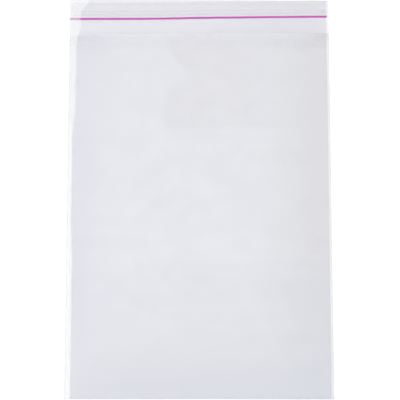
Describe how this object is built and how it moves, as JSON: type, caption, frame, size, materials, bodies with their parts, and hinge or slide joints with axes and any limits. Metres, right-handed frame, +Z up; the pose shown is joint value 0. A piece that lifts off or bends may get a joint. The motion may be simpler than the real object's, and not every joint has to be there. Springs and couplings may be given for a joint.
{
  "type": "self-seal plastic bag",
  "caption": "Flat clear film bag with welded sides and a folded bottom; a lip with adhesive under a peel-off liner folds over to seal it.",
  "frame": {"origin": "centre of the bag's outline, on the surface that its back panel lies on", "axes": "+X across the bag, +Y from the bottom fold to the lip, +Z up, away from the back panel"},
  "size_m": [0.22, 0.34, 0.0067],
  "materials": {
    "film": "clear glossy polypropylene film",
    "adhesive": "clear tacky acrylic adhesive",
    "liner": "translucent siliconised film with a magenta line printed along one edge"
  },
  "bodies": {
    "root": {"bag_film": "film", "adhesive_strip": "adhesive", "release_liner": "liner"}
  },
  "joints": []
}
